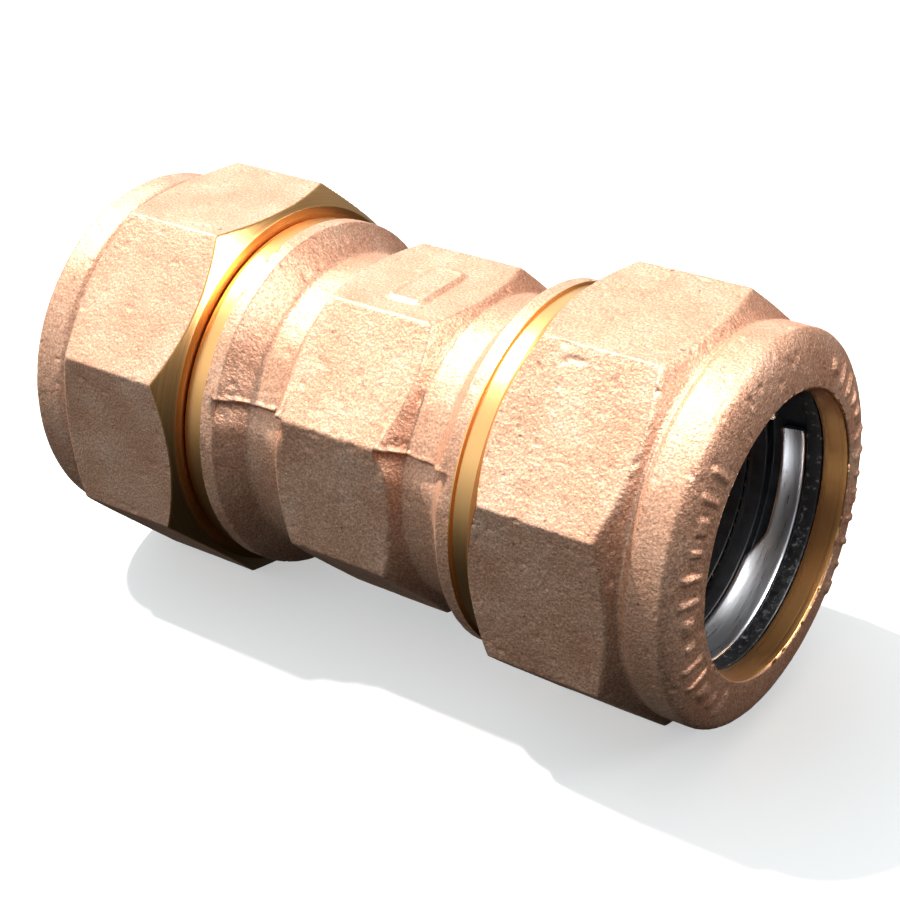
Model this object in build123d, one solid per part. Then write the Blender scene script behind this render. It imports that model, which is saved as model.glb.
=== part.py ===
from build123d import *
from math import cos, pi, radians, sin
import os

os.makedirs("parts", exist_ok=True)

# Straight compression coupling for 1 in copper-tube-size service tube.
# Millimetres. X runs along the waterway, Z is up, the middle of the body is the origin.
# Everything outside the body is drawn for the +X end; the other end is the same
# assembly turned half way round about Z, so both threads stay right-handed.

# ---- tube and waterway ----
SOCKET_R = 14.5          # tube socket, for a tube of 28.575 mm outside diameter
STOP_R = 12.6            # rib in the middle that the tube ends butt against
STOP_HALF = 1.6

# ---- body ----
BODY_FLATS = 36.2        # across the flats of the middle octagon
BODY_CORNER_R = BODY_FLATS / 2 / cos(pi / 8)
BODY_HALF = 6.3          # half length of the octagon at its corners
BODY_SHOULDER = 8.4      # where its shoulder meets the neck
BODY_TOP = 17.55         # the top flat is dressed lower than the other seven
NECK_R = 16.9
NECK_END = 11.6
FLANGE_R = 19.96
FLANGE_BACK = 14.6
FLANGE_EDGE = 16.5       # end of the cast rim, start of the turned edge
EDGE_R = 19.62           # radius of that turned edge
FLANGE_FACE = 19.0
SPIGOT_END = 31.0
SEAT_START = 20.0        # conical gasket seat inside the spigot
SEAT_SLOPE = 0.169
PAD_LENGTH = 4.6         # plain raised pad on the top flat
PAD_WIDTH = 8.6
PAD_RISE = 0.35

# ---- thread, 14 per inch, right-handed ----
PITCH = 25.4 / 14
SPIGOT_ROOT_R = 17.35
SPIGOT_CREST_R = 18.35
NUT_ROOT_R = 18.5
NUT_CREST_R = 17.6

# ---- nut ----
NUT_FLATS = 42.86        # 1 11/16 in across the flats
NUT_CORNER_R = NUT_FLATS / 2 / cos(pi / 8)
NUT_FACE = 19.25
NUT_FACE_R = 20.8
NUT_CHAMFER_END = 21.55
NUT_FLATS_END = 34.26
VALLEY = 36.2
VALLEY_R = 20.2
HUB_START = 37.4
HUB_R = 20.74
HUB_END = 40.35
DOME_RISE = 7.5          # quarter ellipse that rounds the hub into the mouth
DOME_DEPTH = 2.18
DOME_STOP = 15           # degrees of the ellipse cut off by the mouth
LIP_R = 14.87
LIP_SHOULDER = 39.46
LIP_END = 42.1           # start of the small chamfer at the mouth
CAVITY_R = 17.4
CAVITY_START = 32.0
COUNTERBORE_R = 18.8
RIGHT_NUT_TURN = 2.75    # the right nut stands turned by this many degrees

# ---- gasket pack ----
PACK_R = 17.2
NOSE_TIP = 22.5
NOSE_GAP = 0.2           # radial gap to the seat before the nut is tightened
PACK_FRONT = 31.9
PACK_BACK = 37.3
POCKET_START = 33.15
POCKET_R = 15.9
ARMOUR_R = 16.45
ARMOUR_END = 34.0
ARMOUR_THICK = 0.35
WASHER_START = 37.44
WASHER_END = 39.3
WASHER_R = 14.95
SPRING_X = 31.0
SPRING_R = 15.03
COIL_R = 0.38
WIRE_R = 0.12
COILS = 60

# ---- gripper band ----
BAND_START = 33.3
BAND_END = 37.25
BAND_STEP = 34.4         # the stepped split divides the band's width here
BAND_IN_R = 14.42        # inner radius at the deep edge
BAND_OUT_R = 15.15       # inner radius at the outer edge
BAND_THICK = 0.55
BAND_GAP = 0.15          # half the slit between the two tongues
TONGUE_TIP = 12.2        # angles are measured from +Y towards +Z
TONGUE_ROOT = -34.6
SLANT_RUN = 3.5          # the tongue's root widens to full width over this length
TAIL_TIP = 1.0
TAIL_ROOT = 64.0

OTHER_END = Rot(0, 0, 180)


def seat_radius(x):
    """Radius of the conical gasket seat at a distance x from the middle."""
    return SOCKET_R + 0.1 + (x - SEAT_START) * SEAT_SLOPE


def turned(*curves, start=90, arc=360):
    """Solid of revolution from a closed outline drawn as (x, radius)."""
    edges = [edge for curve in curves for edge in curve.edges()]
    solid = revolve(Plane.XZ * make_face(edges), Axis.X, arc)
    return Rot(start - 90, 0, 0) * solid


def turned_points(*points, start=90, arc=360):
    """Solid of revolution from a closed polygon of (x, radius) points."""
    return turned(Polyline(*points, close=True), start=start, arc=arc)


def octagon_bar(corner_r, start, end):
    """Octagonal bar along X with one flat facing straight up."""
    outline = Plane.YZ.offset(start) * RegularPolygon(corner_r, 8, rotation=22.5)
    return extrude(outline, end - start)


def thread_ridge(base_r, crest_r, base_width, crest_width, start, end):
    """One right-handed helical ridge standing on a cylinder, outward or inward."""
    path = Helix(pitch=PITCH, height=end - start, radius=base_r)
    across = Plane(origin=path @ 0, x_dir=(1, 0, 0), z_dir=path % 0)
    depth = crest_r - base_r
    section = across * Polygon(
        (0, -base_width / 2),
        (depth, -crest_width / 2),
        (depth, crest_width / 2),
        (0, base_width / 2),
        align=None,
    )
    ridge = sweep(section, path, is_frenet=True)
    return Pos(start, 0, 0) * Rot(0, 90, 0) * ridge


def neck_flange_spigot():
    """Neck, flange and plain spigot of the +X end, solid through the middle."""
    back = Spline(
        (NECK_END, NECK_R), (13.0, 17.65), (FLANGE_BACK, FLANGE_R - 0.6),
        tangents=((1, 0), (0.6, 1)),
    )
    rim_and_spigot = Polyline(
        back @ 1,
        (FLANGE_BACK + 0.5, FLANGE_R),
        (FLANGE_EDGE, FLANGE_R),
        (FLANGE_EDGE + 0.15, EDGE_R),
        (FLANGE_FACE - 0.45, EDGE_R),
        (FLANGE_FACE, EDGE_R - 0.35),
        (FLANGE_FACE, SPIGOT_ROOT_R),
        (SPIGOT_END - 0.5, SPIGOT_ROOT_R),
        (SPIGOT_END, 16.9),
        (SPIGOT_END, 0),
        (0, 0),
        (0, NECK_R),
        back @ 0,
    )
    return turned(back, rim_and_spigot)


def spigot_thread():
    """Male thread of the +X spigot, run out at both ends."""
    ridge = thread_ridge(SPIGOT_ROOT_R - 0.1, SPIGOT_CREST_R, 1.3, 0.35, 20.4, 30.4)
    run_out = turned_points(
        (19.8, 0), (19.8, 17.1), (21.0, SPIGOT_CREST_R + 0.1),
        (29.6, SPIGOT_CREST_R + 0.1), (30.7, 17.1), (30.7, 0),
    )
    return ridge & run_out


def middle_octagon():
    """Wrench flats in the middle of the body, their shoulders and the raised pad."""
    bar = octagon_bar(BODY_CORNER_R, -BODY_SHOULDER, BODY_SHOULDER)
    rim = BODY_CORNER_R + 0.1
    foot = NECK_R - 0.1
    envelope = turned_points(
        (-BODY_SHOULDER, 0), (-BODY_SHOULDER, foot), (-BODY_HALF, rim),
        (BODY_HALF, rim), (BODY_SHOULDER, foot), (BODY_SHOULDER, 0),
    )
    above = Box(30, 60, 10, align=(Align.CENTER, Align.CENTER, Align.MIN))
    pad_plane = Plane((0.7, -0.9, BODY_TOP - 0.5))
    pad_outline = pad_plane * RectangleRounded(PAD_LENGTH, PAD_WIDTH, 1.2)
    pad = extrude(pad_outline, PAD_RISE + 0.5, taper=8)
    return (bar & envelope) - Pos(0, 0, BODY_TOP) * above + pad


def body_bore():
    """Waterway: centre stop rib, tube sockets and the conical seats at both ends."""
    half = [
        (STOP_HALF - 0.4, STOP_R),
        (STOP_HALF, SOCKET_R),
        (SEAT_START - 0.3, SOCKET_R),
        (SEAT_START, seat_radius(SEAT_START)),
        (SPIGOT_END + 1, seat_radius(SPIGOT_END + 1)),
        (SPIGOT_END + 1, 0),
    ]
    other_half = [(-x, r) for x, r in reversed(half)]
    return turned_points(*other_half, *half)


def coupling_body():
    """Cast body: octagon, two necks, two flanges and two threaded spigots."""
    end = neck_flange_spigot()
    thread = spigot_thread()
    blank = middle_octagon() + end + OTHER_END * end
    return blank - body_bore() + thread + OTHER_END * thread


def nut_outside():
    """Outside of a nut: octagon with a turned chamfer, valley, hub and domed end."""
    bar = octagon_bar(NUT_CORNER_R, NUT_FACE, VALLEY)
    rim = NUT_CORNER_R + 0.1
    envelope = turned_points(
        (NUT_FACE, 0), (NUT_FACE, NUT_FACE_R), (NUT_CHAMFER_END, rim),
        (NUT_FLATS_END, rim), (VALLEY, VALLEY_R - 0.1), (VALLEY, 0),
    )
    valley = Spline(
        (VALLEY, VALLEY_R), (HUB_START, HUB_R - 0.1), (HUB_START + 1.4, HUB_R),
        tangents=((1, 0.1), (1, 0)),
    )
    dome = EllipticalCenterArc(
        (HUB_END, HUB_R - DOME_RISE), DOME_DEPTH, DOME_RISE,
        start_angle=DOME_STOP, arc_size=90 - DOME_STOP,
    )
    hub = Line(valley @ 1, dome @ 1)
    rest = Polyline(dome @ 0, ((dome @ 0).X, 0), (VALLEY - 3, 0), (VALLEY - 3, VALLEY_R), valley @ 0)
    return (bar & envelope) + turned(valley, hub, dome, rest)


def nut_bore():
    """Counterbore, thread bore, gasket cavity and the lip the tube passes through."""
    return turned_points(
        (NUT_FACE - 1, 0),
        (NUT_FACE - 1, COUNTERBORE_R),
        (NUT_FACE + 1.35, COUNTERBORE_R),
        (NUT_FACE + 1.65, NUT_ROOT_R),
        (CAVITY_START - 0.1, NUT_ROOT_R),
        (CAVITY_START, CAVITY_R),
        (LIP_SHOULDER, CAVITY_R),
        (LIP_SHOULDER, LIP_R),
        (LIP_END, LIP_R),
        (LIP_END + 1, LIP_R + 0.8),
        (LIP_END + 1, 0),
    )


def nut_thread():
    """Female thread, half a pitch away from the spigot's ridge and run out at its ends."""
    ridge = thread_ridge(NUT_ROOT_R + 0.1, NUT_CREST_R, 1.2, 0.3, 20.4 + PITCH / 2, 31.4)
    run_out = turned_points(
        (20.8, NUT_ROOT_R + 0.2), (20.8, NUT_ROOT_R + 0.05), (21.7, NUT_CREST_R - 0.1),
        (CAVITY_START - 0.1, NUT_CREST_R - 0.1), (CAVITY_START - 0.1, NUT_ROOT_R + 0.2),
    )
    return ridge & run_out


def nut():
    """Compression nut of the +X end."""
    return nut_outside() - nut_bore() + nut_thread()


def thrust_washer():
    """Plain ring between the nut's lip and the gasket, edges broken."""
    edge = 0.15
    return turned_points(
        (WASHER_START, WASHER_R + edge),
        (WASHER_START, PACK_R - edge),
        (WASHER_START + edge, PACK_R),
        (WASHER_END - edge, PACK_R),
        (WASHER_END, PACK_R - edge),
        (WASHER_END, WASHER_R + edge),
        (WASHER_END - edge, WASHER_R),
        (WASHER_START + edge, WASHER_R),
    )


def gasket():
    """Rubber gasket: conical nose, rebate for the armour ring and pocket for the band."""
    nose_foot = seat_radius(PACK_FRONT) - NOSE_GAP
    body = turned_points(
        (NOSE_TIP, SOCKET_R),
        (NOSE_TIP, seat_radius(NOSE_TIP) - NOSE_GAP),
        (PACK_FRONT, nose_foot),
        (PACK_FRONT + ARMOUR_THICK, nose_foot),
        (PACK_FRONT + ARMOUR_THICK, PACK_R - ARMOUR_THICK),
        (ARMOUR_END, PACK_R - ARMOUR_THICK),
        (ARMOUR_END, PACK_R),
        (PACK_BACK - 0.2, PACK_R),
        (PACK_BACK, PACK_R - 0.2),
        (PACK_BACK, POCKET_R),
        (POCKET_START, POCKET_R),
        (POCKET_START, SOCKET_R),
    )
    groove = Pos(SPRING_X, 0, 0) * Rot(0, 90, 0) * Torus(SPRING_R, COIL_R + WIRE_R + 0.035)
    return body - groove


def gasket_armour():
    """Brass angle ring that keeps the rubber out of the thread."""
    return turned_points(
        (PACK_FRONT, ARMOUR_R),
        (PACK_FRONT, PACK_R - 0.15),
        (PACK_FRONT + 0.15, PACK_R),
        (ARMOUR_END, PACK_R),
        (ARMOUR_END, PACK_R - ARMOUR_THICK),
        (PACK_FRONT + ARMOUR_THICK, PACK_R - ARMOUR_THICK),
        (PACK_FRONT + ARMOUR_THICK, ARMOUR_R),
    )


def continuity_spring():
    """Fine coil spring laid round the gasket's bore, its ends almost meeting."""
    points = []
    steps = COILS * 8
    for i in range(steps + 1):
        around = 0.99 * 2 * pi * i / steps
        coil = 2 * pi * COILS * i / steps
        r = SPRING_R + COIL_R * cos(coil)
        points.append((SPRING_X + COIL_R * sin(coil), r * cos(around), r * sin(around)))
    path = Spline(*points)
    wire = Plane(origin=path @ 0, z_dir=path % 0) * Circle(WIRE_R)
    return sweep(wire, path, is_frenet=True)


def band_curve(rise):
    """Curved section of the band: steep at its deep edge, nearly level at its outer edge."""
    return Spline(
        (BAND_START, BAND_IN_R + rise),
        (BAND_START + 1.2, BAND_IN_R + 0.45 + rise),
        (BAND_END, BAND_OUT_R + rise),
        tangents=((1, 0.5), (1, 0.06)),
    )


def gripper_band():
    """Split curved band with a stepped split: a long outer tongue beside a deeper tail."""
    inner = band_curve(0)
    outer = band_curve(BAND_THICK)
    band = turned(inner, Line(inner @ 1, outer @ 1), outer, Line(outer @ 0, inner @ 0))
    near_r, far_r = BAND_IN_R - 1, BAND_OUT_R + BAND_THICK + 1
    deep_start, outer_end = BAND_START - 1, BAND_END + 1
    beside_tongue = turned_points(
        (deep_start, near_r), (deep_start, far_r),
        (BAND_STEP + BAND_GAP, far_r), (BAND_STEP + BAND_GAP, near_r),
        start=TONGUE_ROOT, arc=TAIL_TIP - TONGUE_ROOT,
    )
    beside_tail = turned_points(
        (BAND_STEP - BAND_GAP, near_r), (BAND_STEP - BAND_GAP, far_r),
        (outer_end, far_r), (outer_end, near_r),
        start=TONGUE_TIP, arc=TAIL_ROOT - TONGUE_TIP,
    )
    slant = Plane(
        origin=(0, 12 * cos(radians(TONGUE_ROOT)), 12 * sin(radians(TONGUE_ROOT))),
        x_dir=(1, 0, 0),
        z_dir=(0, cos(radians(TONGUE_ROOT)), sin(radians(TONGUE_ROOT))),
    ) * Polygon(
        (BAND_STEP + BAND_GAP, -0.3),
        (BAND_STEP + BAND_GAP, 0),
        (BAND_START, SLANT_RUN),
        (deep_start, SLANT_RUN),
        (deep_start, -0.3),
        align=None,
    )
    return band - beside_tongue - beside_tail - extrude(slant, 6)


def end_parts():
    """All the pieces of the +X end, by name."""
    return {
        "nut": nut(),
        "thrust_washer": thrust_washer(),
        "gripper_band": gripper_band(),
        "gasket": gasket(),
        "gasket_armour": gasket_armour(),
        "continuity_spring": continuity_spring(),
    }


export_step(coupling_body(), "parts/coupling_body.step")
for name, piece in end_parts().items():
    turn = RIGHT_NUT_TURN if name == "nut" else 0
    export_step(Rot(turn, 0, 0) * piece, f"parts/right_{name}.step")
    export_step(OTHER_END * piece, f"parts/left_{name}.step")
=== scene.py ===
import math

import bpy
import numpy as np
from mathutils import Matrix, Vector, noise


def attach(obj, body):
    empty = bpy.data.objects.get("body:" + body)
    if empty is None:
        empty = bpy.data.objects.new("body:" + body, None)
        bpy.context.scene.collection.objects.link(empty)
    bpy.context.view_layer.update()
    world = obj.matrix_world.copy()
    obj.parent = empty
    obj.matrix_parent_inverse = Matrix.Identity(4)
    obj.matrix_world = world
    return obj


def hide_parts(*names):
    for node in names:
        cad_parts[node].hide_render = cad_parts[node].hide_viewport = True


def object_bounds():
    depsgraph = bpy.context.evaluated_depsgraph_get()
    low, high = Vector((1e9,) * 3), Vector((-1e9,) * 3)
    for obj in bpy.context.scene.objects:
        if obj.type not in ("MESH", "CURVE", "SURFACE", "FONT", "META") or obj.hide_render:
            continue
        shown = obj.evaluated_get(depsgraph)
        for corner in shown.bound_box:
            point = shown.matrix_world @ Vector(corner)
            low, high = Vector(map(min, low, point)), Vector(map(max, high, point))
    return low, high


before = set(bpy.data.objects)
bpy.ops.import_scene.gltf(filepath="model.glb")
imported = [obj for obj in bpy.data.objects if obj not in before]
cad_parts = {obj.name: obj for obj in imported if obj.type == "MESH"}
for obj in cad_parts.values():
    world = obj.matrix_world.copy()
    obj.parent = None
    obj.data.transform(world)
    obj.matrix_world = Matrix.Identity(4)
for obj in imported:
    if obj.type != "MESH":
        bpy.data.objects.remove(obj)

cad_low, cad_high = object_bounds()

# Straight compression coupling. Dimensions are in millimetres and turned into metres
# when a mesh is made. X runs along the waterway and Z is up. The pieces outside the body
# are drawn for the +X end; the other end is the same piece turned half way round about Z.
MM = 0.001
CAST, TURNED = -1.0, 1.0            # finish of a surface: as cast, or cut on the lathe
CRISP = 0.05                        # fillet of a sharp machined edge
FILLET_STEP = math.radians(16)      # turn of a fillet from one sample to the next

# ---- body ----
BODY_FLAT = 18.1                    # distance of a flat from the axis
BODY_TOP = 17.55                    # the top flat is dressed lower
BODY_FLATS = [BODY_FLAT, BODY_FLAT, BODY_TOP] + [BODY_FLAT] * 5
OCTAGON_REACH = 10.0                # the flats cut only what lies nearer the middle
BODY_COLUMNS = 400
SHOULDER_START, SHOULDER_R = 5.52, 20.6
NECK_START, NECK_END, NECK_R = 8.4, 12.2, 16.9
FLANGE_BACK, FLANGE_R = 14.75, 19.96
RIM_START, RIM_R = 16.5, 19.62      # turned edge of the flange
FLANGE_FACE = 19.07
SPIGOT_R, SPIGOT_END = 17.35, 31.0
SPIGOT_THREAD_START = 19.8
SEAT_R = 16.46                      # mouth of the conical gasket seat
SEAT_END, SEAT_END_R = 20.0, 14.6
BORE_R = 14.5
STOP_R, STOP_HALF = 12.6, 1.2       # rib in the middle that stops the tubes
PAD_X, PAD_Y = 0.7, -0.9            # middle of the pad on the top flat
PAD_HALF_X, PAD_HALF_Y, PAD_ROUND = 1.3, 3.3, 1.0
PAD_HEIGHT, PAD_HOLLOW = 0.42, 0.14
PARTING_LINES = ((157.5, 1), (337.5, -1))      # degrees round the axis, way to the upper half
PARTING_FROM, PARTING_TO = 5.9, 15.6           # the line shows between octagon and flange rim
PARTING_UP, PARTING_DOWN, PARTING_FIN = 0.3, 0.6, 0.35

# ---- threads ----
PITCH = 25.4 / 14
THREAD_PHASE = 20.4                 # where a ridge of the spigot crosses its lowest line
RIDGE_BASE = 1.2
SPIGOT_CREST, SPIGOT_RIDGE = 0.35, 1.0
NUT_CREST, NUT_RIDGE = 0.3, 0.9

# ---- nuts ----
NUT_FLATS = [21.43] * 8
NUT_BLANK_R = 24.2                  # outside the octagon's corners
NUT_COLUMNS = 632
RIGHT_NUT_TURN = math.radians(2.75)
NUT_FACE, NUT_FACE_R = 19.25, 20.8
CONE_END = 22.38
FLATS_END = 33.6
VALLEY, VALLEY_R = 36.2, 20.2
HUB_START, HUB_END, HUB_R = 37.15, 40.35, 20.74
DOME_DEPTH, DOME_RISE = 2.18, 7.5   # quarter ellipse that rounds the hub into the mouth
DOME_STOP = 16                      # degrees of the ellipse cut off by the mouth
DOME_STEPS = 25
MOUTH, MOUTH_R = 42.44, 15.1
LIP_START, LIP_END, LIP_R = 39.46, 42.2, 14.87
CHAMBER_START, CHAMBER_R = 32.0, 17.4
NUT_THREAD_START, NUT_THREAD_END, NUT_ROOT_R = 20.9, 31.95, 18.5
COUNTERBORE_END, COUNTERBORE_R = 20.6, 18.8

# ---- marks on the domes ----
MARKS = 44
MARK_R = 17.6
MARK_HEIGHT = 0.28
MARK_SHAPES = [(1.25, 0.3), (1.25, 0.3), (0.7, 0.75), (0.7, 0.3)]    # half length, half width

# ---- gasket pack ----
PACK_R = 17.2
RING_START, RING_END, RING_R = 37.44, 39.3, 14.95
GASKET_START, GASKET_END = 22.5, 37.3
GASKET_NOSE_R = 14.82
CONE_TOP, CONE_TOP_R = 31.9, 16.41
ARMOUR_START, ARMOUR_END, ARMOUR_R = 32.25, 34.0, 16.85
POCKET_START, POCKET_R = 33.15, 15.9
SPRING_X, SPRING_R, SPRING_GROOVE_R = 31.0, 15.03, 0.535
BAND_START, BAND_STEP, BAND_END, BAND_GAP = 33.3, 34.4, 37.25, 0.15
BAND_IN_R, BAND_FLARE = 14.695, 0.73
BAND_HALF_THICK = 0.265
BAND_ARC_R = 14.7                   # radius at which lengths along the strip are measured
BAND_END_ROUND = 0.45               # rounding of the strip's two ends
TONGUE_TIP, TONGUE_ROOT, SLANT = 12.2, -34.6, 13.8       # degrees round the axis
TAIL_TIP, TAIL_ROOT = -344.0, -296.0

# ---- stage ----
SKY_TINT = (0.80, 0.93, 1.0)
SKY_LEVELS = [                      # height of a direction, brightness there
    (-0.6, 0.02), (-0.3, 0.08), (-0.12, 0.34), (0.0, 0.45), (0.17, 0.68), (0.32, 1.2), (0.9, 0.9),
]
SKY_BRIGHT_SIDE = (-0.98, -0.2, 0)
SUN_DIRECTION = (-0.52, 0.02, 0.85)
SUN_ENERGY, SUN_WIDTH = 6.0, math.radians(3)
SUN_TINT = (1.0, 0.96, 0.90)
FLOOR_SIZE, FLOOR_GAP = 4, 0.0003              # metres
CAMERA_PLACE = (0.11487, -0.14743, 0.10210)
CAMERA_TURN = (60.622, 2.429, 36.085)          # degrees about X, Y and Z
CAMERA_LENS = 77.5


# ---------------------------------------------------------------- outlines

def corner_arc(before, corner, after, fillet):
    """Points that round one corner of an outline, or the corner itself when it is sharp."""
    into = np.subtract(corner, before)
    out = np.subtract(after, corner)
    into_length, out_length = np.hypot(*into), np.hypot(*out)
    into, out = into / into_length, out / out_length
    bend = math.acos(max(-1.0, min(1.0, float(into @ out))))
    reach = min(fillet * math.tan(bend / 2), 0.45 * into_length, 0.45 * out_length)
    if reach < 1e-6:
        return [tuple(corner)]
    steps = max(2, math.ceil(bend / FILLET_STEP))
    start = np.subtract(corner, into * reach)
    end = np.add(corner, out * reach)
    arc = []
    for t in np.linspace(0, 1, steps + 1):
        arc.append(tuple((1 - t) ** 2 * start + 2 * t * (1 - t) * np.array(corner) + t * t * end))
    return arc


def walk(outline):
    """Samples a closed outline of (x, radius, fillet, step, finish) corners.

    step and finish belong to the run that follows the corner. Returns arrays of x, radius
    and finish."""
    rows = []
    count = len(outline)
    arcs = []
    for i, (x, r, fillet, _, _) in enumerate(outline):
        before = outline[i - 1][:2]
        after = outline[(i + 1) % count][:2]
        arcs.append(corner_arc(before, (x, r), after, fillet))
    for i in range(count):
        step, finish = outline[i][3:]
        rows += [(x, r, finish) for x, r in arcs[i]]
        start, end = arcs[i][-1], arcs[(i + 1) % count][0]
        pieces = max(1, round(math.dist(start, end) / step))
        for k in range(1, pieces):
            t = k / pieces
            x = start[0] + (end[0] - start[0]) * t
            r = start[1] + (end[1] - start[1]) * t
            rows.append((x, r, finish))
    return np.array(rows).T


def octagon_columns(count, gathered):
    """Angles round the axis, gathered towards the octagon's eight corners."""
    even = np.linspace(0, 2 * math.pi, count, endpoint=False)
    return (even + math.pi / 8 - gathered / 8 * np.sin(8 * even))[None, :]


def octagon_radius(theta, flats, sharpness):
    """Radius of an octagon with slightly rounded corners; flats go round from +Y, up first."""
    nearest = min(flats)
    total = 0
    for k, flat in enumerate(flats):
        share = np.maximum(np.cos(theta - k * math.pi / 4), 1e-9) * nearest / flat
        total = total + share ** sharpness
    return nearest * total ** (-1 / sharpness)


def soft_min(a, b, blend):
    """Smaller of two lengths, with a rounded changeover as wide as blend."""
    overlap = np.maximum(blend - np.abs(a - b), 0) / blend
    return np.minimum(a, b) - overlap ** 2 * blend / 4


def smooth(edge0, edge1, value):
    """0 below edge0, 1 above edge1, with a smooth rise between."""
    t = np.clip((value - edge0) / (edge1 - edge0), 0, 1)
    return t * t * (3 - 2 * t)


def helical_ridge(x, theta, start, base_width, crest_width, height):
    """Height of a right-handed thread ridge over a cylinder at (x, theta)."""
    along = (x - start) / PITCH - (theta + math.pi / 2) / (2 * math.pi)
    away = np.abs(along - np.round(along)) * PITCH
    flank = (base_width / 2 - away) / ((base_width - crest_width) / 2)
    return np.clip(flank, 0, 1) * height


# ---------------------------------------------------------------- surface relief

def noise_field(points, size, seed, octaves=1):
    """Smooth noise over points in millimetres, lumps about size across."""
    offset = Vector((seed * 17.3, seed * 5.1, seed * 9.7))
    flat = points.reshape(-1, 3) / size
    if octaves == 1:
        values = [noise.noise(Vector(p) + offset) for p in flat]
    else:
        values = [noise.fractal(Vector(p) + offset, 0.8, 2.1, octaves) for p in flat]
    return np.array(values).reshape(points.shape[:-1])


def grid_points(x, r, theta):
    """Points of a turned grid, rows along the outline and columns round the axis."""
    return np.stack([x + 0 * r, r * np.cos(theta), r * np.sin(theta)], -1)


def grid_normals(points):
    """Outward unit normals of a grid that closes on itself both ways."""
    along = np.roll(points, -1, 0) - np.roll(points, 1, 0)
    around = np.roll(points, -1, 1) - np.roll(points, 1, 1)
    normal = np.cross(around, along)
    return normal / np.maximum(np.linalg.norm(normal, axis=-1, keepdims=True), 1e-9)


def cast_relief(points, castness, seed, rough=1.0):
    """Sand-cast surface: slow waviness, lumps, grain and a few small pits."""
    wave = noise_field(points, 7.0, seed)
    lumps = noise_field(points, 1.5, seed + 1, 2)
    grain = noise_field(points, 0.55, seed + 2)
    pits = smooth(0.45, 0.65, noise_field(points, 0.9, seed + 3))
    return castness * (0.05 * wave + rough * (0.015 * lumps + 0.014 * grain - 0.12 * pits))


def grid_object(name, points, flip=False, **layers):
    """Closed mesh from a grid that joins up both ways, with float layers on its vertices."""
    rows, columns = points.shape[:2]
    index = np.arange(rows * columns).reshape(rows, columns)
    down = np.roll(index, -1, 0)
    right = np.roll(index, -1, 1)
    diagonal = np.roll(down, -1, 1)
    quads = np.stack([index, right, diagonal, down], -1).reshape(-1, 4)
    if flip:
        quads = quads[:, ::-1]
    mesh = bpy.data.meshes.new(name)
    mesh.from_pydata((points.reshape(-1, 3) * MM).tolist(), [], quads.tolist())
    mesh.polygons.foreach_set("use_smooth", [True] * len(quads))
    for layer, values in layers.items():
        attribute = mesh.attributes.new(layer, "FLOAT", "POINT")
        attribute.data.foreach_set("value", np.asarray(values, float).reshape(-1))
    mesh.update()
    piece = bpy.data.objects.new(name, mesh)
    bpy.context.scene.collection.objects.link(piece)
    return piece


def other_end(points):
    """Turns a piece of the +X end half way round about Z."""
    return points * np.array([-1.0, -1.0, 1.0])


def turn_about_x(points, angle):
    """Turns points about the waterway's axis."""
    c, s = math.cos(angle), math.sin(angle)
    return points @ np.array([[1, 0, 0], [0, c, s], [0, -s, c]])


# ---------------------------------------------------------------- nuts

def dome_corners():
    """Quarter ellipse from the hub's rim down to the mouth, as outline corners."""
    corners = []
    for angle in np.radians(np.linspace(90, DOME_STOP, DOME_STEPS + 1)):
        x = HUB_END + DOME_DEPTH * math.cos(angle)
        r = HUB_R - DOME_RISE + DOME_RISE * math.sin(angle)
        corners.append((x, r, 0, 9, CAST))
    return corners


def nut_outline():
    """Outline of a nut: face, turned cone, flats, shoulder, valley, hub, dome, lip and bore."""
    return [
        (NUT_FACE, COUNTERBORE_R, CRISP, 0.25, TURNED),
        (NUT_FACE, NUT_FACE_R, 0.12, 0.2, TURNED),
        (CONE_END, NUT_BLANK_R, 0, 0.3, CAST),
        (FLATS_END, NUT_BLANK_R, 0, 0.28, CAST),
        (VALLEY, VALLEY_R, 0.9, 0.3, CAST),
        (HUB_START, HUB_R, 1.0, 0.3, CAST),
        *dome_corners(),
        (MOUTH, MOUTH_R, CRISP, 0.2, CAST),
        (LIP_END, LIP_R, CRISP, 0.4, TURNED),
        (LIP_START, LIP_R, CRISP, 1.2, TURNED),
        (LIP_START, CHAMBER_R, 0.3, 1.5, TURNED),
        (CHAMBER_START, CHAMBER_R, 0, 0.4, TURNED),
        (CHAMBER_START - 0.1, NUT_ROOT_R, 0, 0.3, TURNED),
        (NUT_THREAD_START, NUT_ROOT_R, 0, 0.3, TURNED),
        (COUNTERBORE_END, COUNTERBORE_R, 0, 0.6, TURNED),
    ]


def index_marks(radius, theta):
    """Raised marks cast round two arcs of the dome: two bars, a block, a short bar, and again."""
    height = np.zeros(theta.shape)
    for k in range(MARKS):
        angle = 2 * math.pi * k / MARKS
        if math.cos(2 * angle) < -0.4:
            continue
        across = ((theta - angle + math.pi) % (2 * math.pi) - math.pi) * MARK_R
        half_length, half_width = MARK_SHAPES[k % len(MARK_SHAPES)]
        beyond = np.maximum(np.abs(radius - MARK_R) - half_length, np.abs(across) - half_width)
        height = np.maximum(height, smooth(0.16, -0.1, beyond))
    return height


def nut_thread(x, r, theta, finish):
    """Height of the thread ridge inside a nut, fading out at both ends."""
    start, end = NUT_THREAD_START, NUT_THREAD_END
    at_root = (finish > 0) & (r > NUT_ROOT_R - 0.6) & (r < NUT_ROOT_R + 0.2)
    threaded = at_root & (x > start - 0.2) & (x < end)
    fade = smooth(start, start + 1.0, x) * smooth(end, end - 0.55, x)
    ridge = helical_ridge(x, theta, THREAD_PHASE + PITCH / 2, RIDGE_BASE, NUT_CREST, NUT_RIDGE)
    return np.where(threaded, ridge * fade, 0)


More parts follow.
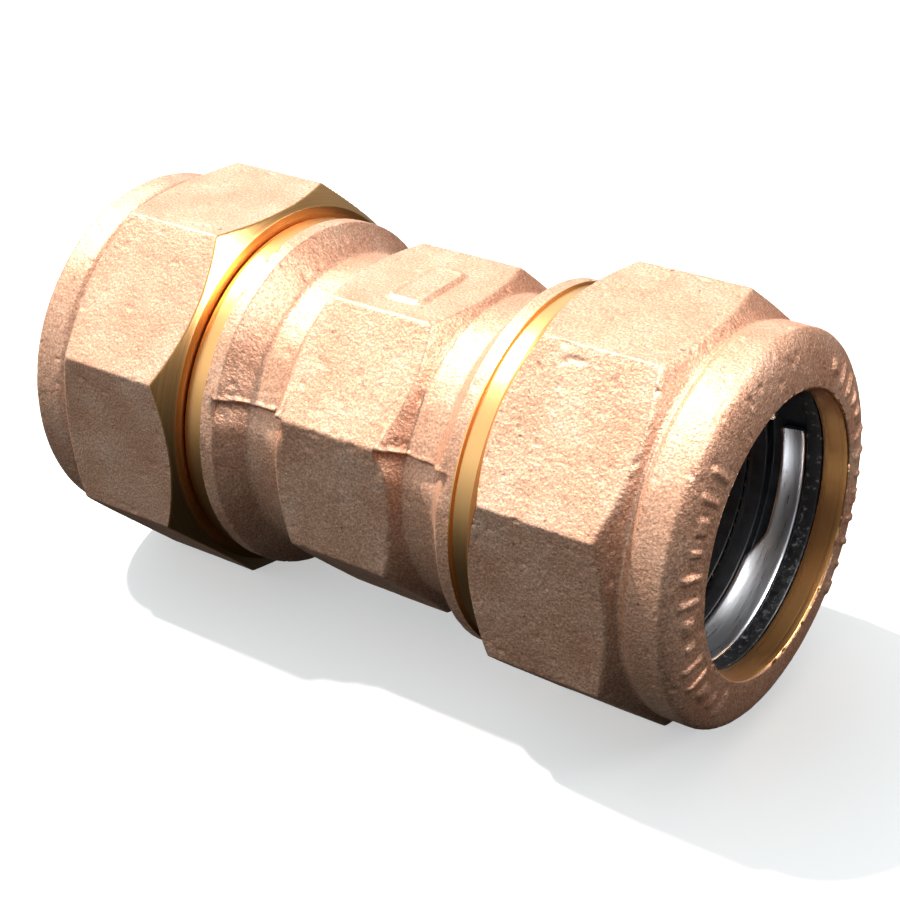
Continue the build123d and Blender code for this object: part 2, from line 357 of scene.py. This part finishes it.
def make_nut(side, turn, seed, rough):
    """One nut as a closed mesh: cast outside, turned face and cone, lip and thread inside."""
    x, r, finish = walk(nut_outline())
    x, r, finish = x[:, None], r[:, None], finish[:, None]
    theta = octagon_columns(NUT_COLUMNS, 0.5)
    flats = octagon_radius(theta, NUT_FLATS, 420)
    outside = r > NUT_FACE_R + 0.1
    turned = np.where(outside, np.minimum(finish, flats - r), finish + 0 * theta)
    blend = np.where(finish > 0, 0.05, 0.5)
    radius = soft_min(r + 0 * theta, flats, blend) - nut_thread(x, r, theta - turn, finish)
    points = grid_points(x, radius, theta)
    normals = grid_normals(points)
    castness = smooth(0.04, -0.04, turned)
    relief = cast_relief(points, castness, seed, rough) - 0.05 * castness
    on_dome = castness * (x > HUB_END - 0.05)
    relief = relief + MARK_HEIGHT * on_dome * index_marks(radius, theta)
    points = points + normals * relief[..., None]
    points = turn_about_x(points, turn)
    if side == "left":
        points = other_end(points)
    piece = grid_object(f"{side}_nut_casting", points, turned=turned)
    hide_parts(f"{side}_nut")
    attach(piece, f"{side}_nut_body")
    return piece


# ---------------------------------------------------------------- body

def body_outline():
    """Outline of the body: octagon, necks, flanges, spigots and the stepped waterway."""
    outer = [
        (SHOULDER_START, SHOULDER_R, 0, 0.3, CAST),
        (NECK_START, NECK_R, 0.5, 0.35, CAST),
        (NECK_END, NECK_R, 1.3, 0.3, CAST),
        (FLANGE_BACK, FLANGE_R, 0.4, 0.3, CAST),
        (RIM_START, FLANGE_R, CRISP, 0.2, TURNED),
        (RIM_START + 0.15, RIM_R, CRISP, 0.4, TURNED),
        (FLANGE_FACE, RIM_R, 0.35, 0.8, TURNED),
        (FLANGE_FACE, SPIGOT_R, 0.1, 0.36, TURNED),
        (SPIGOT_END - 0.5, SPIGOT_R, 0.1, 0.3, TURNED),
        (SPIGOT_END, SPIGOT_R - 0.45, CRISP, 0.3, TURNED),
        (SPIGOT_END, SEAT_R, CRISP, 2.2, TURNED),
        (SEAT_END, SEAT_END_R, 0, 0.3, TURNED),
        (SEAT_END - 0.3, BORE_R, 0, 3.0, TURNED),
        (STOP_HALF + 0.4, BORE_R, 0.1, 0.6, TURNED),
        (STOP_HALF, STOP_R, 0.1, 0.8, TURNED),
    ]
    steps = [corner[3:] for corner in outer]
    before = [(0.3, CAST)] + steps[:-1]
    mirrored = [(-c[0], c[1], c[2], *run) for c, run in zip(reversed(outer), reversed(before))]
    return outer + mirrored


def parting_relief(x, theta, radius):
    """Mould parting line: the upper half stands a little proud and leaves a ragged fin."""
    ragged = noise_field(np.stack([x + 0 * theta, 0 * radius, 0 * radius], -1), 0.9, 31, 2)
    rise = smooth(PARTING_FROM, PARTING_FROM + 0.7, np.abs(x))
    neck = rise * smooth(PARTING_TO, PARTING_TO - 1.0, np.abs(x))
    height = np.zeros(theta.shape) + 0 * x
    for angle, lean in PARTING_LINES:
        away = (theta - math.radians(angle) + math.pi) % (2 * math.pi) - math.pi
        away = away * radius * lean + 0.35 * ragged * neck
        upper = smooth(-4.0, -0.1, away) * smooth(0.08, -0.08, away)
        lower = smooth(3.5, 0.1, away) * smooth(-0.08, 0.08, away)
        fin = smooth(0.45, 0.05, np.abs(away + 0.2)) * (0.6 + 0.8 * ragged)
        step = PARTING_UP * upper - PARTING_DOWN * lower + PARTING_FIN * fin
        height += neck * step + 0.03 * fin
    return height


def pad_relief(points):
    """Plain raised pad on the top flat, its middle a little hollow."""
    x, y, z = np.moveaxis(points, -1, 0)
    across = np.maximum(np.abs(x - PAD_X) - PAD_HALF_X, 0)
    along = np.maximum(np.abs(y - PAD_Y) - PAD_HALF_Y, 0)
    edge = np.hypot(across, along) - PAD_ROUND
    pad = smooth(0.2, -0.2, edge)
    middle = smooth(-0.3, -0.7, edge)
    return np.where(z > 15, PAD_HEIGHT * pad - PAD_HOLLOW * middle, 0)


def spigot_thread(x, r, theta):
    """Height of the thread ridges on both spigots, fading out at their ends."""
    own_theta = np.where(x > 0, theta, math.pi - theta)
    own_x = np.abs(x)
    start, end = SPIGOT_THREAD_START, SPIGOT_END
    threaded = (r > SPIGOT_R - 0.15) & (own_x > start - 0.5) & (own_x < end - 0.1)
    fade = smooth(start, start + 1.2, own_x) * smooth(end - 0.4, end - 1.4, own_x)
    ridge = helical_ridge(own_x, own_theta, THREAD_PHASE, RIDGE_BASE, SPIGOT_CREST, SPIGOT_RIDGE)
    return np.where(threaded, fade * ridge, 0)


def make_body():
    """The body as a closed mesh."""
    x, r, finish = walk(body_outline())
    x, r, finish = x[:, None], r[:, None], finish[:, None]
    theta = octagon_columns(BODY_COLUMNS, 0.35)
    flats = octagon_radius(theta, BODY_FLATS, 300)
    in_octagon = np.abs(x) < OCTAGON_REACH
    radius = np.where(in_octagon, soft_min(r + 0 * theta, flats, 0.3), r)
    radius = radius + spigot_thread(x, r, theta)
    turned = finish + 0 * theta
    points = grid_points(x, radius, theta)
    normals = grid_normals(points)
    castness = smooth(0.04, -0.04, turned)
    relief = cast_relief(points, castness, 5) - 0.03 * castness
    relief = relief + castness * parting_relief(x, theta, radius)
    relief = relief + castness * pad_relief(points)
    points = points + normals * relief[..., None]
    piece = grid_object("body_casting", points, turned=turned)
    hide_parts("coupling_body")
    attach(piece, "body")
    return piece


# ---------------------------------------------------------------- gasket pack

def make_ring(name, side, node, outline, columns=240, seed=3, relief=0.0):
    """One turned ring of the gasket pack."""
    x, r, _ = walk([(*corner, TURNED) for corner in outline])
    theta = np.linspace(0, 2 * math.pi, columns, endpoint=False)[None, :]
    points = grid_points(x[:, None], r[:, None] + 0 * theta, theta)
    points = points + grid_normals(points) * (relief * noise_field(points, 1.1, seed, 2))[..., None]
    if side == "left":
        points = other_end(points)
    piece = grid_object(f"{side}_{name}", points)
    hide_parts(f"{side}_{node}")
    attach(piece, f"{side}_pack")
    return piece


def make_washer(side):
    """Black thrust ring with moulded, slightly worn edges."""
    outline = [
        (RING_START, RING_R, 0.25, 0.2),
        (RING_START, PACK_R, 0.2, 0.3),
        (RING_END, PACK_R, 0.2, 0.6),
        (RING_END, RING_R, 0.25, 0.6),
    ]
    return make_ring("thrust_ring", side, "thrust_washer", outline, 360, 3, 0.03)


def make_gasket(side):
    """Rubber gasket: conical nose, rebate for the armour ring, bore and band pocket."""
    outline = [
        (GASKET_START, BORE_R, CRISP, 0.3),
        (GASKET_START, GASKET_NOSE_R, 0.08, 1.2),
        (CONE_TOP, CONE_TOP_R, 0, 0.3),
        (ARMOUR_START, CONE_TOP_R, 0, 0.4),
        (ARMOUR_START, ARMOUR_R, 0, 0.8),
        (ARMOUR_END, ARMOUR_R, 0, 0.3),
        (ARMOUR_END, PACK_R, 0.1, 0.8),
        (GASKET_END, PACK_R, 0.2, 0.5),
        (GASKET_END, POCKET_R, 0.2, 0.6),
        (POCKET_START, POCKET_R, 0.2, 0.5),
        (POCKET_START, BORE_R, 0.2, 0.6),
    ]
    for angle in np.radians(np.linspace(-81, 261, 15)):
        x = SPRING_X + SPRING_GROOVE_R * math.cos(angle)
        outline.append((x, SPRING_R + SPRING_GROOVE_R * math.sin(angle), 0, 0.2))
    return make_ring("gasket_rubber", side, "gasket", outline, 300, 9, 0.02)


def band_edges(phi, from_tip, from_tail):
    """Deep and outer edges of the gripper band at an angle, its two ends rounded off."""
    tongue = smooth(TONGUE_ROOT - SLANT, TONGUE_ROOT, phi) * 0.4
    tongue = tongue + 0.6 * np.clip((phi - TONGUE_ROOT + SLANT) / SLANT, 0, 1)
    deep = BAND_START + (BAND_STEP + BAND_GAP - BAND_START) * tongue
    outer = np.where(phi < TAIL_ROOT, BAND_STEP - BAND_GAP, BAND_END)
    for distance in (from_tip, from_tail):
        short = np.clip(BAND_END_ROUND - distance, 0, BAND_END_ROUND)
        inset = BAND_END_ROUND - np.sqrt(np.maximum(BAND_END_ROUND ** 2 - short ** 2, 0))
        deep, outer = deep + inset, outer - inset
    return deep, outer


def make_band(side):
    """Split stainless band: a curved strip, its tongue lying beside its tail."""
    phi = np.concatenate([
        np.linspace(TAIL_TIP, TAIL_TIP + 2, 9),
        np.linspace(TAIL_TIP + 2.5, TAIL_ROOT - 0.1, 50),
        np.linspace(TAIL_ROOT + 0.1, TONGUE_TIP - 2.5, 330),
        np.linspace(TONGUE_TIP - 2, TONGUE_TIP, 9),
    ])[None, :]
    arc = math.radians(1) * BAND_ARC_R
    deep, outer = band_edges(phi, (TONGUE_TIP - phi) * arc, (phi - TAIL_TIP) * arc)
    half_turn = np.linspace(0, math.pi, 15)
    across = (0.5 - 0.5 * np.cos(half_turn))[:, None]
    x = deep + (outer - deep) * across
    lean = np.clip((x - BAND_START) / (BAND_END - BAND_START), 0, 1)
    middle = BAND_IN_R + BAND_FLARE * (1 - (1 - lean) ** 2.4)
    half_thick = BAND_HALF_THICK * (1 - np.abs(2 * across - 1) ** 14) ** 0.5 + 0.01
    x = np.concatenate([x, x[::-1]])
    r = np.concatenate([middle - half_thick, (middle + half_thick)[::-1]])
    points = grid_points(x, r, np.radians(phi) + 0 * x)
    if side == "left":
        points = other_end(points)
    rows, columns = points.shape[:2]
    index = np.arange(rows * columns).reshape(rows, columns)
    down = np.roll(index, -1, 0)
    quads = np.stack([index[:, :-1], index[:, 1:], down[:, 1:], down[:, :-1]], -1).reshape(-1, 4)
    faces = quads.tolist() + [index[:, 0].tolist(), index[::-1, -1].tolist()]
    mesh = bpy.data.meshes.new(f"{side}_gripper_strip")
    mesh.from_pydata((points.reshape(-1, 3) * MM).tolist(), [], faces)
    mesh.polygons.foreach_set("use_smooth", [True] * len(quads) + [False] * 2)
    piece = bpy.data.objects.new(mesh.name, mesh)
    bpy.context.scene.collection.objects.link(piece)
    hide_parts(f"{side}_gripper_band")
    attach(piece, f"{side}_pack")
    return piece


# ---------------------------------------------------------------- materials

class Nodes:
    """Small helper for building one material's node tree."""

    def __init__(self, name):
        self.material = bpy.data.materials.new(name)
        self.material.use_nodes = True
        self.tree = self.material.node_tree
        self.shader = self.tree.nodes["Principled BSDF"]

    def add(self, kind, *inputs, out=0, **settings):
        """Adds a node, sets its properties and inputs, and returns one of its outputs."""
        node = self.tree.nodes.new("ShaderNode" + kind)
        for key, value in settings.items():
            setattr(node, key, value)
        for key, value in inputs:
            self.plug(node.inputs[key], value)
        return node.outputs[out]

    def plug(self, socket, value):
        """Links an output to a socket, or sets the socket to a plain value."""
        if isinstance(value, bpy.types.NodeSocket):
            self.tree.links.new(value, socket)
        else:
            socket.default_value = value

    def math(self, operation, a, b):
        """A Math node of two values."""
        return self.add("Math", (0, a), (1, b), operation=operation)

    def millimetres(self):
        """Position on the object, in millimetres."""
        coordinates = self.add("TexCoord", out="Object")
        return self.add("VectorMath", (0, coordinates), (3, 1000.0), operation="SCALE")

    def noise(self, vector, size, detail=2.0, rough=0.5):
        """Noise with lumps about size millimetres across."""
        return self.add(
            "TexNoise",
            ("Vector", vector),
            ("Scale", 1 / size),
            ("Detail", detail),
            ("Roughness", rough),
        )

    def ramp(self, value, *stops):
        """Colour or grey ramp of (position, colour) stops."""
        node = self.tree.nodes.new("ShaderNodeValToRGB")
        elements = node.color_ramp.elements
        while len(elements) < len(stops):
            elements.new(0.5)
        for element, (position, colour) in zip(elements, stops):
            element.position = position
            element.color = colour if isinstance(colour, tuple) else (colour, colour, colour, 1)
        self.plug(node.inputs[0], value)
        return node.outputs[0]

    def mix(self, factor, a, b):
        """Mix of two colours."""
        return self.add("Mix", ("Factor", factor), (6, a), (7, b), data_type="RGBA", out=2)

    def multiply(self, a, b):
        """Product of two colours."""
        inputs = (("Factor", 1.0), (6, a), (7, b))
        return self.add("Mix", *inputs, data_type="RGBA", blend_type="MULTIPLY", out=2)

    def mix_value(self, factor, a, b):
        """Mix of two numbers."""
        return self.add("Mix", ("Factor", factor), (2, a), (3, b), data_type="FLOAT", out=0)

    def bump(self, height, distance, normal=None):
        """Bump of a height between 0 and 1 and a distance in millimetres."""
        inputs = [("Height", height), ("Distance", distance * MM), ("Strength", 1.0)]
        if normal is not None:
            inputs.append(("Normal", normal))
        return self.add("Bump", *inputs)

    def finish(self, **sockets):
        """Plugs the shader's sockets and returns the material."""
        for key, value in sockets.items():
            self.plug(self.shader.inputs[key.replace("_", " ")], value)
        return self.material


def rgb(red, green, blue):
    """Colour from 0 to 255 screen values, as the linear numbers a shader takes."""
    linear = []
    for channel in (red / 255, green / 255, blue / 255):
        linear.append(channel / 12.92 if channel < 0.039 else ((channel + 0.055) / 1.055) ** 2.4)
    return (*linear, 1.0)


def turned_rings(n, place, spacing):
    """Fine tool marks that run round the axis, as a value between 0 and 1."""
    parts = n.tree.nodes.new("ShaderNodeSeparateXYZ")
    n.plug(parts.inputs[0], place)
    radial = n.add("CombineXYZ", (1, parts.outputs[1]), (2, parts.outputs[2]))
    radius = n.add("VectorMath", (0, radial), operation="LENGTH", out="Value")
    line = n.add("CombineXYZ", (0, parts.outputs[0]), (1, radius))
    return n.noise(line, spacing, 2.0)


def bronze_material(name, rough):
    """Sand-cast bronze that turns to golden, tool-marked metal where it was machined."""
    n = Nodes(name)
    place = n.millimetres()
    patches = n.noise(place, 5.0, 3.0)
    grain = n.noise(place, 0.34, 2.0, 0.6)
    lumps = n.noise(place, 0.9, 2.0)
    pits = n.ramp(n.noise(place, 1.3, 3.0, 0.6), (0.24, 1.0), (0.32, 0.0))
    dull, plain, pale = rgb(196, 142, 112), rgb(206, 154, 124), rgb(214, 168, 140)
    cast = n.ramp(patches, (0.3, dull), (0.5, plain), (0.72, pale))
    # Fine colour grain from 0.72 to 1.4 times the cast colour: partly the sand's own grain, partly
    # painted glints meant to sparkle on the shaded facets.
    sand = n.noise(place, 0.24, 1.0)
    sand_grain_and_painted_glints = n.ramp(sand, (0.3, 0.72), (0.5, 1.0), (0.72, 1.4))
    cast = n.multiply(cast, sand_grain_and_painted_glints)
    cast = n.mix(pits, cast, rgb(120, 82, 62))
    rings = turned_rings(n, place, 0.09)
    brass = n.ramp(rings, (0.3, rgb(226, 164, 102)), (0.7, rgb(238, 180, 116)))
    attribute = n.tree.nodes.new("ShaderNodeAttribute")
    attribute.attribute_name = "turned"
    ragged = n.math("MULTIPLY", n.math("SUBTRACT", grain, 0.5), 0.12)
    edge = n.math("ADD", attribute.outputs["Fac"], ragged)
    cut = n.add("MapRange", (0, edge), (1, -0.02), (2, 0.02))
    cast_normal = n.bump(lumps, 0.05 * rough, n.bump(grain, 0.07 * rough))
    turned_normal = n.bump(rings, 0.0035)
    normals = (("Factor", cut), (4, cast_normal), (5, turned_normal))
    normal = n.add("Mix", *normals, data_type="VECTOR", out=1)
    cast_roughness = n.ramp(grain, (0.3, 0.56), (0.7, 0.42))
    turned_roughness = n.ramp(rings, (0.3, 0.27), (0.7, 0.36))
    return n.finish(
        Base_Color=n.mix(cut, cast, brass),
        Metallic=n.mix_value(cut, 0.5, 1.0),
        Roughness=n.mix_value(cut, cast_roughness, turned_roughness),
        Normal=normal,
    )


def steel_material():
    """Bright rolled stainless strip with faint rolling lines."""
    n = Nodes("bright_stainless")
    place = n.millimetres()
    drawn_out = n.add("VectorMath", (0, place), (1, (4.0, 0.3, 0.3)), operation="MULTIPLY")
    lines = n.noise(drawn_out, 1.0, 2.0)
    return n.finish(
        Base_Color=n.ramp(lines, (0.3, rgb(214, 216, 220)), (0.7, rgb(226, 228, 232))),
        Metallic=1.0,
        Roughness=n.ramp(lines, (0.3, 0.27), (0.7, 0.31)),
        Normal=n.bump(lines, 0.0003),
    )


def black_ring_material():
    """Black moulded ring with pale scuffs and specks of dust."""
    n = Nodes("black_ring")
    place = n.millimetres()
    scuffs = n.noise(place, 0.7, 4.0, 0.7)
    fine = n.noise(place, 0.25, 2.0)
    pale = n.ramp(scuffs, (0.56, 0.0), (0.68, 1.0))
    return n.finish(
        Base_Color=n.mix(pale, rgb(28, 32, 38), rgb(150, 156, 162)),
        Roughness=n.ramp(scuffs, (0.4, 0.32), (0.68, 0.6)),
        Normal=n.bump(fine, 0.02),
    )


def rubber_material():
    """Black smooth rubber; its bluish tint is painted sky reflection and its lighter patches are
    painted sheen.
    """
    n = Nodes("black_rubber_smooth")
    place = n.millimetres()
    # Patches of painted sheen: they lighten the colour towards a paler blue and also vary the
    # roughness.
    painted_sheen_patches = n.noise(place, 3.0, 4.0)
    fine = n.noise(place, 0.3, 2.0)
    return n.finish(
        Base_Color=n.ramp(painted_sheen_patches, (0.35, rgb(26, 31, 39)), (0.7, rgb(46, 54, 66))),
        Roughness=n.ramp(painted_sheen_patches, (0.3, 0.42), (0.7, 0.56)),
        Normal=n.bump(fine, 0.015),
    )


def plain_brass_material(name, dark, light):
    """Bright brass for the small hidden rings and springs."""
    n = Nodes(name)
    tone = n.noise(n.millimetres(), 0.6, 3.0)
    return n.finish(
        Base_Color=n.ramp(tone, (0.3, dark), (0.7, light)),
        Metallic=1.0,
        Roughness=n.ramp(tone, (0.3, 0.24), (0.7, 0.38)),
        Normal=n.bump(tone, 0.01),
    )


def floor_material():
    """Pale matt floor."""
    n = Nodes("pale_floor")
    tone = n.noise(n.millimetres(), 40.0, 2.0)
    return n.finish(
        Base_Color=n.ramp(tone, (0.3, rgb(203, 200, 196)), (0.7, rgb(207, 204, 200))),
        Roughness=0.9,
        Emission_Color=rgb(255, 255, 255),
        Emission_Strength=0.45,
    )


def paint(piece, material):
    """Gives a piece its only material."""
    piece.data.materials.clear()
    piece.data.materials.append(material)


def make_object():
    """All pieces of the coupling with their materials."""
    paint(make_body(), bronze_material("body_bronze", 1.0))
    ring, rubber, steel = black_ring_material(), rubber_material(), steel_material()
    armour = plain_brass_material("armour_brass", rgb(176, 130, 70), rgb(206, 162, 96))
    wire = plain_brass_material("spring_wire", rgb(160, 112, 66), rgb(190, 140, 88))
    for side, turn, seed, rough in (("left", 0, 11, 0.9), ("right", RIGHT_NUT_TURN, 23, 1.25)):
        paint(make_nut(side, turn, seed, rough), bronze_material(f"{side}_nut_bronze", rough))
        paint(make_washer(side), ring)
        paint(make_gasket(side), rubber)
        paint(make_band(side), steel)
        paint(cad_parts[f"{side}_gasket_armour"], armour)
        paint(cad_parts[f"{side}_continuity_spring"], wire)


# ---------------------------------------------------------------- stage, light, camera

def make_floor():
    """Plain pale floor just under the lowest corner of the nuts."""
    bpy.ops.mesh.primitive_plane_add(size=FLOOR_SIZE, location=(0, 0, cad_low.z - FLOOR_GAP))
    floor = bpy.context.object
    floor.name = "floor"
    floor.visible_diffuse = False
    floor.visible_glossy = False
    paint(floor, floor_material())


def make_sky():
    """Soft sky: dim below the horizon, bright overhead, and much darker towards +X."""
    world = bpy.data.worlds.new("studio")
    world.use_nodes = True
    tree = world.node_tree
    background = tree.nodes["Background"]
    direction = tree.nodes.new("ShaderNodeTexCoord").outputs["Generated"]
    parts = tree.nodes.new("ShaderNodeSeparateXYZ")
    tree.links.new(direction, parts.inputs[0])
    height = tree.nodes.new("ShaderNodeMapRange")
    height.inputs["From Min"].default_value = -1
    tree.links.new(parts.outputs["Z"], height.inputs["Value"])
    level = tree.nodes.new("ShaderNodeValToRGB")
    tree.links.new(height.outputs[0], level.inputs[0])
    elements = level.color_ramp.elements
    while len(elements) < len(SKY_LEVELS):
        elements.new(0.5)
    for element, (z, brightness) in zip(elements, SKY_LEVELS):
        element.position = (z + 1) / 2
        element.color = (*[brightness * tint for tint in SKY_TINT], 1)
    facing = tree.nodes.new("ShaderNodeVectorMath")
    facing.operation = "DOT_PRODUCT"
    facing.inputs[1].default_value = SKY_BRIGHT_SIDE
    tree.links.new(direction, facing.inputs[0])
    side = tree.nodes.new("ShaderNodeMapRange")
    for socket, value in (("From Min", -0.45), ("From Max", 0.3), ("To Min", 0.14), ("To Max", 1.45)):
        side.inputs[socket].default_value = value
    tree.links.new(facing.outputs["Value"], side.inputs["Value"])
    tree.links.new(level.outputs[0], background.inputs[0])
    tree.links.new(side.outputs[0], background.inputs[1])
    bpy.context.scene.world = world


def make_sun():
    """One high sun, a little to the left and almost straight above."""
    sun = bpy.data.lights.new("sun", "SUN")
    sun.energy = SUN_ENERGY
    sun.angle = SUN_WIDTH
    sun.color = SUN_TINT
    lamp = bpy.data.objects.new("sun", sun)
    lamp.rotation_mode = "QUATERNION"
    lamp.rotation_quaternion = Vector(SUN_DIRECTION).to_track_quat("Z", "Y")
    bpy.context.scene.collection.objects.link(lamp)


def make_panel(name, place, aim, width, height, energy):
    """Soft rectangular panel that shines from place towards aim, unseen by the camera."""
    panel = bpy.data.lights.new(name, "AREA")
    panel.shape = "RECTANGLE"
    panel.size, panel.size_y = width, height
    panel.energy = energy
    lamp = bpy.data.objects.new(name, panel)
    lamp.location = place
    lamp.visible_camera = False
    lamp.rotation_mode = "QUATERNION"
    lamp.rotation_quaternion = (Vector(place) - Vector(aim)).to_track_quat("Z", "Y")
    bpy.context.scene.collection.objects.link(lamp)
    return lamp


def make_panels():
    """One small panel that lights the mouth's bright parts, and a wide one on the far right."""
    mouth = make_panel(
        "mouth_panel", place=(0.102, -0.006, 0.113), aim=(0.038, 0.0, 0.0),
        width=0.08, height=0.08, energy=0.36,
    )
    mouth.visible_diffuse = False
    make_panel(
        "rim_panel", place=(0.35, 0.22, 0.14), aim=(0.0, 0.0, 0.0),
        width=0.17, height=0.1, energy=0.6,
    )


def make_camera():
    """Camera of a hand-held close view from the front right, a little above."""
    data = bpy.data.cameras.new("camera")
    data.lens = CAMERA_LENS
    data.sensor_width = 36
    data.clip_start, data.clip_end = 0.01, 10
    camera = bpy.data.objects.new("camera", data)
    camera.location = CAMERA_PLACE
    camera.rotation_euler = [math.radians(angle) for angle in CAMERA_TURN]
    bpy.context.scene.collection.objects.link(camera)
    bpy.context.scene.camera = camera


make_object()
make_floor()
make_sky()
make_sun()
make_panels()
make_camera()
bpy.context.scene.view_settings.view_transform = "Standard"
bpy.context.view_layer.update()
